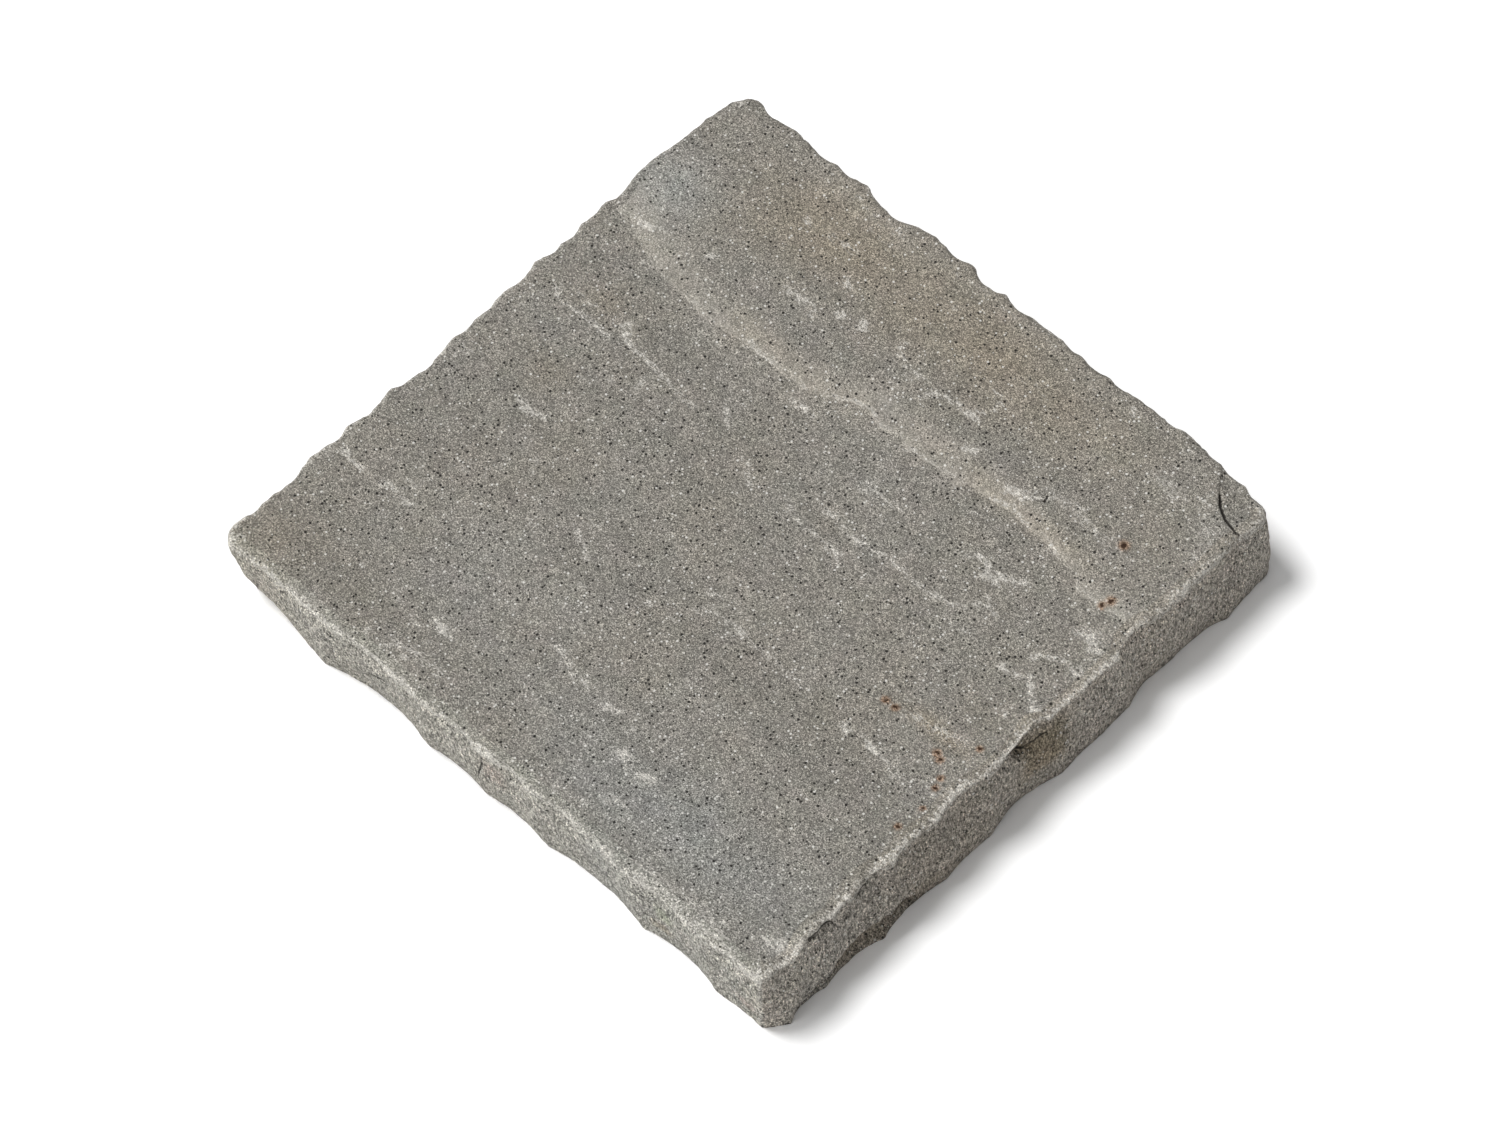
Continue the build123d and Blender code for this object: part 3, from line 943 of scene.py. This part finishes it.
def tinted(points, zones, edge, beyond):
    """Colour that multiplies the stone's own: fresh slope and sides, bands along the bedding, broad stains,
    painted light just in front of the step, and painted shade in the scar's hole and under the ledge on the
    right side.

    Its fourth channel says how strongly the grain shows; it is fainter on the fresh slope.
    """
    faces = faces_of(points, zones)
    fresh = fresh_slope(points, zones, beyond)
    blotches = BLOTCH_LEVEL * fractal(points * (1, 1, 0), size=17.0, seed=32, octaves=3)
    blue = scatter(points, BLUE_STAINS) + blotches
    brown = scatter(points, BROWN_STAINS) - blotches
    shade = blue[:, None] * BLUE_SHIFT + brown[:, None] * BROWN_SHIFT + fresh[:, None] * FRESH_SHIFT
    shade += (faces == RIGHT)[:, None] * RIGHT_SHIFT + (faces == FRONT)[:, None] * FRONT_SHIFT
    # Stains on the sides; some rows are painted shade in the scar's hole and under the ledge
    for face, along, height, length, width, *change in SIDE_STAINS_AND_SHADE:
        flat = in_face(points, face)
        away = ((flat[:, 0] - along) / length) ** 4 + ((flat[:, 1] - height) / width) ** 4
        shade += ((faces == face) * np.exp(-away))[:, None] * change
    level = level_of(points, zones, edge, beyond, fresh)
    return np.column_stack([level[:, None] * (1 + shade), 1 - SLOPE_GRAIN * fresh])


def hewn(zones, edge):
    """1 on the dressed sides, which are rougher and browner than the riven face and the bed."""
    return (zones == 1) * smooth(1.8, -1.0, edge)


def rust(points, zones):
    """Peaks at the iron spots; they fall off over a few millimetres."""
    peaks = np.zeros(len(points))
    for x, y, size in RUST_SPOTS:
        away = np.hypot(points[:, 0] - x, points[:, 1] - y) / (1.6 * size)
        peaks = np.maximum(peaks, 1 / (1 + away ** 2))
    return peaks * (zones == 2)


def crack_gap(points, zones, edge):
    """Distance from the nearest crack, signed beside a straight one so that it passes zero between points."""
    x = points[:, 0]
    gap = distance_to(FLAKE_CRACK, points[:, :2])
    gap += CRACK_SHUT * (1 - smooth(*CRACK_OPENS, x)) - CRACK_GAPE * smooth(*CRACK_GAPES, x)
    gap = np.where((zones == 2) | (edge > 0), np.clip(gap, 0, None), CRACK_FAR)
    faces = faces_of(points, zones)
    for face, start, end, _ in CRACKS:
        away = beside(in_face(points, face), start, end)
        near = (np.abs(away) < np.abs(gap)) & (faces == face)
        gap[near] = away[near]
    return np.clip(gap, -CRACK_FAR, CRACK_FAR)


def atlas(mesh, points, zones, edge):
    """Lays the skin out flat for maps: the top face, a strip above it for each side, the bed beside it."""
    corners = numbers(mesh.polygons, "loop_total", 1)[:, 0].astype(int)
    face_of_loop = np.repeat(np.arange(len(mesh.polygons)), corners)
    vertex = numbers(mesh.loops, "vertex_index", 1)[:, 0].astype(int)
    count = np.bincount(face_of_loop)

    def mean(values):
        """Average of some values of the points over each polygon."""
        return np.bincount(face_of_loop, values[vertex]) / count

    x, y = mean(points[:, 0]), mean(points[:, 1])
    is_bed = (mean(zones == 0) > 0) | (mean(points[:, 2] < HAIR) == 1)
    is_side = (mean(edge) < BEVEL_INSETS[-1] - 0.3) & ~is_bed
    side = np.where(np.abs(x) > np.abs(y), np.where(x > 0, RIGHT, LEFT), np.where(y > 0, BACK, FRONT))

    width = 2 * (HALF + FACE_MARGIN)
    scale = FACE_SHARE / width
    x, y = points[vertex, 0] + HALF + FACE_MARGIN, points[vertex, 1] + HALF + FACE_MARGIN
    side = side[face_of_loop]
    along = np.choose(side, [x, y, width - x, width - y])
    up = STRIPS_FROM + STRIP_PITCH * side + (edge[vertex] + ARRIS + FOOT_ROOM) * scale
    on_top = np.stack([x, y], 1) * scale + MAP_GAP
    on_strip = np.stack([along * scale + MAP_GAP, up], 1)
    on_bed = np.stack([width - x, y], 1) * scale * BED_SCALE + BED_CORNER
    uv = np.where(is_side[face_of_loop, None], on_strip, on_top)
    uv = np.where(is_bed[face_of_loop, None], on_bed, uv)
    mesh.uv_layers.new(name="OFBake").uv.foreach_set("vector", uv.ravel())


class Nodes:
    """A material's node tree, with short calls for the nodes that the stone needs."""

    def __init__(self, name):
        self.material = bpy.data.materials.new(name)
        self.material.use_nodes = True
        self.tree = self.material.node_tree
        self.tree.nodes.clear()

    def add(self, kind, inputs=(), **settings):
        node = self.tree.nodes.new("ShaderNode" + kind)
        for name, value in settings.items():
            setattr(node, name, value)
        for name, value in dict(inputs).items():
            if isinstance(value, bpy.types.NodeSocket):
                self.tree.links.new(value, node.inputs[name])
            else:
                node.inputs[name].default_value = value
        return node

    def math(self, operation, *values):
        return self.add("Math", enumerate(values), operation=operation).outputs[0]

    def vector(self, operation, *values):
        return self.add("VectorMath", enumerate(values), operation=operation).outputs["Vector"]

    def scaled(self, value, factor):
        return self.add("VectorMath", {0: value, "Scale": factor}, operation="SCALE").outputs["Vector"]

    def ramp(self, value, low, high, to_low=0.0, to_high=1.0):
        inputs = {"Value": value, "From Min": low, "From Max": high, "To Min": to_low, "To Max": to_high}
        return self.add("MapRange", inputs, interpolation_type="SMOOTHSTEP").outputs["Result"]

    def noise(self, place, scale, detail, rough):
        inputs = {"Vector": place, "Scale": scale, "Detail": detail, "Roughness": rough}
        return self.add("TexNoise", inputs).outputs["Fac"]

    def cells(self, place, scale):
        """Distance to the nearest cell centre, and two random numbers of that cell."""
        node = self.add("TexVoronoi", {"Vector": place, "Scale": scale})
        split = self.add("SeparateColor", {"Color": node.outputs["Color"]})
        return node.outputs["Distance"], split.outputs["Red"], split.outputs["Green"]

    def mix(self, factor, a, b, blend="MIX"):
        """Blends two colours; they are inputs 6 and 7 of the node, and its output 2."""
        inputs = {0: factor, 6: a, 7: b}
        return self.add("Mix", inputs, data_type="RGBA", blend_type=blend).outputs[2]

    def attribute(self, name, output="Fac"):
        return self.add("Attribute", attribute_name=name).outputs[output]

    def gradient(self, value, stops):
        """A colour ramp with the given stops: place and grey level."""
        node = self.add("ValToRGB", {"Fac": value})
        ramp = node.color_ramp
        ramp.elements[0].position, ramp.elements[-1].position = stops[0][0], stops[-1][0]
        for place, _ in stops[1:-1]:
            ramp.elements.new(place)
        for element, (_, level) in zip(ramp.elements, stops):
            element.color = (level, level, level, 1)
        return node.outputs["Color"]


def specks(nodes, place, spacing, share, reach):
    """Scattered grains: distance between their cells, share of cells that hold one, and largest radius."""
    away, kind, size = nodes.cells(place, 1 / spacing)
    radius = nodes.ramp(size, 0.0, 1.0, 0.45 * reach / spacing, reach / spacing)
    inside = nodes.ramp(nodes.math("DIVIDE", away, radius), 1.0, 0.75)
    return nodes.math("MULTIPLY", inside, nodes.math("LESS_THAN", kind, share))


def bare_stone(nodes, place, hewn_here):
    """Colour of the stone's grain, the grain alone, and the random number of each coarse grain."""
    _, coarse, _ = nodes.cells(place, 1 / COARSE_SAND)
    _, fine, _ = nodes.cells(place, 1 / FINE_SAND)
    shares = nodes.math("MULTIPLY", coarse, COARSE_SHARE), nodes.math("MULTIPLY", fine, FINE_SHARE)
    sand = nodes.gradient(nodes.math("ADD", *shares), GRAIN_LEVELS)
    grain = nodes.mix(nodes.attribute("tint", "Alpha"), (1, 1, 1, 1), sand)
    clouds = {"Vector": place, "Scale": 1 / CLOUD_SIZE, "Detail": 5.0, "Roughness": 0.6}
    cloud = nodes.add("TexNoise", clouds)
    stone = nodes.mix(hewn_here, STONE, HEWN_STONE)
    stone = nodes.mix(1.0, stone, nodes.attribute("tint", "Color"), "MULTIPLY")
    stone = nodes.mix(0.04, stone, cloud.outputs["Color"], "SOFT_LIGHT")
    stone = nodes.mix(1.0, stone, grain, "MULTIPLY")
    return nodes.scaled(stone, nodes.ramp(cloud.outputs["Fac"], 0.25, 0.75, 0.93, 1.07)), grain, coarse


def with_minerals(nodes, place, stone):
    """The stone with its black and white minerals."""
    black = specks(nodes, place, *BLACK_GRAINS)
    white = specks(nodes, nodes.vector("ADD", place, APART), *WHITE_GRAINS)
    stone = nodes.mix(nodes.math("MULTIPLY", black, 0.95), stone, BLACK_SPECK)
    return nodes.mix(nodes.math("MULTIPLY", white, 0.8), stone, WHITE_SPECK)


def with_pale_stone(nodes, place, stone, grain):
    """The stone with its crushed parts: ragged flecks, and thin lines where laminae end."""
    worn_here = nodes.attribute("worn")
    ragged = nodes.noise(place, 1 / FLECK_SIZE, 4.0, 0.8)
    flaked = nodes.math("ADD", worn_here, nodes.math("MULTIPLY", nodes.math("SUBTRACT", ragged, 0.5), 3.6))
    flecks = nodes.math("MULTIPLY", nodes.ramp(flaked, 0.5, 0.85), nodes.ramp(worn_here, 0.0, 0.3, 0.0, 0.78))
    wavy = nodes.noise(nodes.vector("MULTIPLY", place, LINES_ALONG), 1 / LINE_SIZE, 3.0, 0.6)
    thin = nodes.ramp(nodes.math("ABSOLUTE", nodes.math("SUBTRACT", wavy, 0.5)), 0.04, 0.012)
    lines = nodes.math("MULTIPLY", thin, nodes.ramp(worn_here, 0.1, 0.5, 0.0, 0.75))
    pale = nodes.mix(0.6, PALE_STONE, grain, "MULTIPLY")
    return nodes.mix(nodes.math("MAXIMUM", flecks, lines), stone, pale)


def with_rust_and_cracks(nodes, stone, grain, jolt):
    """The stone with its iron spots and cracks, whose edges are made ragged by the jolt."""
    iron = nodes.math("ADD", nodes.attribute("rust"), nodes.math("MULTIPLY", jolt, 0.5))
    halo = nodes.mix(1.0, RUST_HALO, grain, "MULTIPLY")
    stone = nodes.mix(nodes.ramp(iron, 0.2, 0.7, 0.0, 0.5), stone, halo)
    stone = nodes.mix(nodes.ramp(iron, 0.62, 0.78, 0.0, 0.92), stone, RUST_HEART)
    gap = nodes.math("ADD", nodes.attribute("crack_gap"), nodes.math("MULTIPLY", jolt, 0.9))
    crack = nodes.ramp(nodes.math("ABSOLUTE", gap), 0.45, 0.15)
    return nodes.mix(nodes.math("MULTIPLY", crack, 0.9), stone, CRACK_SHADE)


def sandstone():
    """Grey sandstone: tight salt-and-pepper grain, pale where crushed, browner and rougher where hewn, with
    painted shade in the hollows and painted light on the crests of the hewn break.
    """
    nodes = Nodes("sandstone")
    place = nodes.scaled(nodes.add("TexCoord").outputs["Object"], 1 / MM)
    hewn_here = nodes.attribute("hewn")
    stone, grain, coarse = bare_stone(nodes, place, hewn_here)

    # Rough break of the hewn sides: short upright marks, with painted shade, and some dirt, in their hollows
    # and painted light on their crests, where the bump below makes nearly the same relief
    drawn = nodes.vector("MULTIPLY", place, UPRIGHT_MARKS)
    break_height = nodes.noise(drawn, 1 / ROUGH_SIZE, 4.0, 0.75)
    painted_break_shading = nodes.scaled(stone, nodes.ramp(break_height, 0.35, 0.65, 0.36, 1.68))
    stone = nodes.mix(hewn_here, stone, painted_break_shading)

    stone = with_minerals(nodes, place, stone)
    stone = with_pale_stone(nodes, place, stone, grain)
    stone = with_rust_and_cracks(nodes, stone, grain, nodes.math("SUBTRACT", break_height, 0.5))

    # Relief of the grain, stronger where the side was hewn
    depth = nodes.ramp(hewn_here, 0.0, 1.0, RIVEN_GRAIN, HEWN_GRAIN)
    bump_height = nodes.math("MULTIPLY", nodes.noise(drawn, 1 / ROUGH_SIZE, 4.0, 0.72), depth)
    bump = nodes.add("Bump", {"Height": bump_height, "Strength": 1.0, "Distance": 1.0})
    shader = nodes.add("BsdfPrincipled", {
        "Base Color": stone,
        "Roughness": nodes.ramp(coarse, 0.9, 1.0, 0.93, 0.6),
        "Normal": bump.outputs["Normal"],
        "Specular IOR Level": 0.25,
    })
    nodes.add("OutputMaterial", {"Surface": shader.outputs["BSDF"]})
    return nodes.material


def build_stone():
    """The dressed stone, in place of the plain block."""
    mesh, toe, zones, edge = stone_skin()
    zones, edge = refine(mesh, zones, edge)
    points, beyond = carve(mesh, toe, zones, edge)
    masks = {
        "worn": worn(points, zones, edge, beyond),
        "hewn": hewn(zones, edge),
        "rust": rust(points, zones),
        "crack_gap": crack_gap(points, zones, edge),
    }
    for name, values in masks.items():
        mesh.attributes.new(name, "FLOAT", "POINT").data.foreach_set("value", values)
    tint = mesh.attributes.new("tint", "FLOAT_COLOR", "POINT")
    tint.data.foreach_set("color", tinted(points, zones, edge, beyond).ravel())
    atlas(mesh, points, zones, edge)
    mesh.transform(Matrix.Scale(MM, 4))
    mesh.shade_smooth()
    mesh.materials.append(sandstone())
    stone = bpy.data.objects.new("split_stone", mesh)
    bpy.context.scene.collection.objects.link(stone)
    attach(stone, "root")
    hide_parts(NODE)


def floor_material():
    """White paper sweep. The camera sees it a little lighter, so that it is white outside the shadow."""
    nodes = Nodes("sweep")
    seen = nodes.add("LightPath").outputs["Is Camera Ray"]
    lit = nodes.add("BsdfDiffuse", {"Color": FLOOR}).outputs["BSDF"]
    shown = nodes.add("BsdfDiffuse", {"Color": FLOOR_SHOWN}).outputs["BSDF"]
    both = nodes.add("MixShader", {0: seen, 1: lit, 2: shown}).outputs["Shader"]
    nodes.add("OutputMaterial", {"Surface": both})
    return nodes.material


def build_floor():
    """A wide level floor that only sets the scene."""
    mesh = bpy.data.meshes.new("floor")
    corners = [(x * FLOOR_REACH, y * FLOOR_REACH, 0) for x, y in ((-1, -1), (1, -1), (1, 1), (-1, 1))]
    mesh.from_pydata(corners, [], [(0, 1, 2, 3)])
    mesh.materials.append(floor_material())
    floor = bpy.data.objects.new("floor", mesh)
    bpy.context.scene.collection.objects.link(floor)


def build_sun(name, towards, level, angle):
    """A distant soft lamp that adds the given level to a white level surface."""
    light = bpy.data.lights.new(name, "SUN")
    towards = Vector(towards).normalized()
    light.energy = level * pi / towards.z
    light.angle = radians(angle)
    lamp = bpy.data.objects.new(name, light)
    lamp.rotation_euler = towards.to_track_quat("Z", "Y").to_euler()
    bpy.context.scene.collection.objects.link(lamp)


def build_sky():
    """Even white light from all round; the camera sees plain white."""
    world = bpy.data.worlds.new("studio")
    world.use_nodes = True
    tree = world.node_tree
    sky = tree.nodes["Background"]
    sky.inputs["Color"].default_value = (1, 1, 1, 1)
    level = tree.nodes.new("ShaderNodeMapRange")
    level.inputs["To Min"].default_value = SKY_LEVEL
    level.inputs["To Max"].default_value = 1.0
    tree.links.new(tree.nodes.new("ShaderNodeLightPath").outputs["Is Camera Ray"], level.inputs["Value"])
    tree.links.new(level.outputs["Result"], sky.inputs["Strength"])
    bpy.context.scene.world = world


def build_camera():
    """A long lens at the photograph's angle, rolled slightly."""
    azimuth, elevation, roll = (radians(a) for a in (CAMERA_AZIMUTH, CAMERA_ELEVATION, CAMERA_ROLL))
    back = Vector((sin(azimuth) * cos(elevation), -cos(azimuth) * cos(elevation), sin(elevation)))
    level = Vector((cos(azimuth), sin(azimuth), 0))
    right = level * cos(roll) + back.cross(level) * sin(roll)
    camera = bpy.data.objects.new("camera", bpy.data.cameras.new("camera"))
    turn = Matrix((right, back.cross(right), back)).transposed().to_4x4()
    camera.matrix_world = Matrix.Translation(CAMERA_TARGET + back * CAMERA_DISTANCE) @ turn
    camera.data.sensor_width = SENSOR
    camera.data.lens = CAMERA_LENS
    scene = bpy.context.scene
    scene.collection.objects.link(camera)
    scene.camera = camera
    scene.view_settings.view_transform = "Standard"


build_camera()
build_sky()
build_sun("key", **KEY)
build_sun("fill", **FILL)
build_floor()
build_stone()
